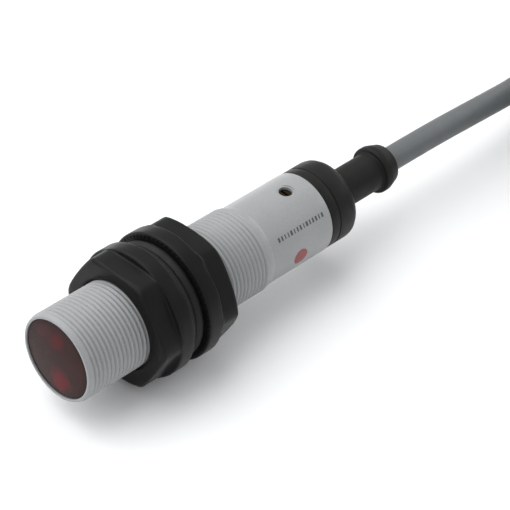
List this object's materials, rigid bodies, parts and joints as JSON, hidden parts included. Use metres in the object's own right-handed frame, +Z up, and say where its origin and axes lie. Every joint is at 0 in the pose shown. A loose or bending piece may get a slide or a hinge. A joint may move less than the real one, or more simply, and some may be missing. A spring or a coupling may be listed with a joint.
{
  "type": "photoelectric sensor",
  "caption": "Cylindrical threaded photoelectric sensor with two flanged hexagon nuts, a tinted front window and a rear cable.",
  "frame": {"origin": "under the middle of the sensor's length, on the surface that the nut flanges rest on", "axes": "+Y along the sensor from the window to the cable, +Z up through the trimmer hole, +X to the right seen from the window side looking along +Y"},
  "size_m": [0.0525, 0.2251, 0.0271],
  "materials": {
    "light_grey_plastic": "fine moulded texture",
    "window_tint": "smooth red-brown filter plastic",
    "clear_lens": "polished clear plastic",
    "black_plastic": "fine moulded texture",
    "nut_plastic": "moulded, slightly glossy",
    "black_rubber": "matt",
    "shield_foil": "rolled sheet",
    "emitter_epoxy": "clear red casting",
    "receiver_epoxy": "dark casting",
    "board_laminate": "solder resist",
    "chip_case": "moulded case with tinned pins",
    "ceramic_chip": "fired ceramic with tinned ends",
    "tantalum_case": "moulded case",
    "trimmer_case": "moulded case",
    "trimmer_brass": "turned",
    "crimp_metal": "tinned",
    "grey_jacket": "extruded soft plastic",
    "core_insulation": "thin coloured insulation",
    "brown_insulation": "thin soft insulation",
    "white_insulation": "thin soft insulation",
    "blue_insulation": "thin soft insulation",
    "black_insulation": "thin soft insulation",
    "tinned_copper": "stranded and tinned"
  },
  "bodies": {
    "sensor_body": {"housing": "light_grey_plastic", "front_window": "window_tint", "window_gasket": "black_rubber", "optics_carrier": "black_plastic", "channel_shield": "shield_foil", "emitter_lens": "clear_lens", "receiver_lens": "clear_lens", "emitter_diode": "emitter_epoxy", "receiver_diode": "receiver_epoxy", "front_board": "board_laminate", "main_board": "board_laminate", "control_chip": "chip_case", "amplifier_chip": "chip_case", "output_driver_chip": "chip_case", "chip_capacitors": "ceramic_chip", "chip_resistors": "ceramic_chip", "storage_capacitor": "tantalum_case", "polarity_diodes": "chip_case", "trimmer_body": "trimmer_case", "trimmer_seal": "black_rubber", "rear_cap": "black_plastic", "cap_seal": "black_rubber", "strain_relief": "black_rubber", "cable_clamp": "crimp_metal", "inner_cable": "grey_jacket", "inner_wires": "core_insulation", "cable": "grey_jacket", "cable_hank": "grey_jacket", "hank_ties": "black_plastic", "brown_lead": "brown_insulation", "white_lead": "white_insulation", "blue_lead": "blue_insulation", "black_lead": "black_insulation", "lead_tips": "tinned_copper"},
    "front_nut": {"front_nut": "nut_plastic"},
    "rear_nut": {"rear_nut": "nut_plastic"},
    "front_washer": {"front_washer": "black_rubber"},
    "rear_washer": {"rear_washer": "black_rubber"},
    "trimmer": {"trimmer_screw": "trimmer_brass"}
  },
  "joints": [
    {"name": "front_nut_travel", "type": "slide", "parent": "sensor_body", "child": "front_washer", "axis": [0, 1, 0], "range_m": [-0.013, 0]},
    {"name": "front_nut_turn", "type": "hinge", "parent": "front_washer", "child": "front_nut", "pos_m": [0, -0.0259, 0.0133], "axis": [0, 1, 0], "range_deg": [-4500, 0]},
    {"name": "rear_nut_travel", "type": "slide", "parent": "sensor_body", "child": "rear_washer", "axis": [0, 1, 0], "range_m": [0, 0.012]},
    {"name": "rear_nut_turn", "type": "hinge", "parent": "rear_washer", "child": "rear_nut", "pos_m": [0, -0.0146, 0.0133], "axis": [0, 1, 0], "range_deg": [0, 4320]},
    {"name": "trimmer_turn", "type": "hinge", "parent": "sensor_body", "child": "trimmer", "pos_m": [0, 0.0144, 0.0193], "axis": [0, 0, 1], "range_deg": [-135, 135]}
  ],
  "couplings": [
    {"joint": "front_nut_travel", "follows": "front_nut_turn", "m_per_rad": 0.00015915},
    {"joint": "rear_nut_travel", "follows": "rear_nut_turn", "m_per_rad": 0.00015915}
  ]
}
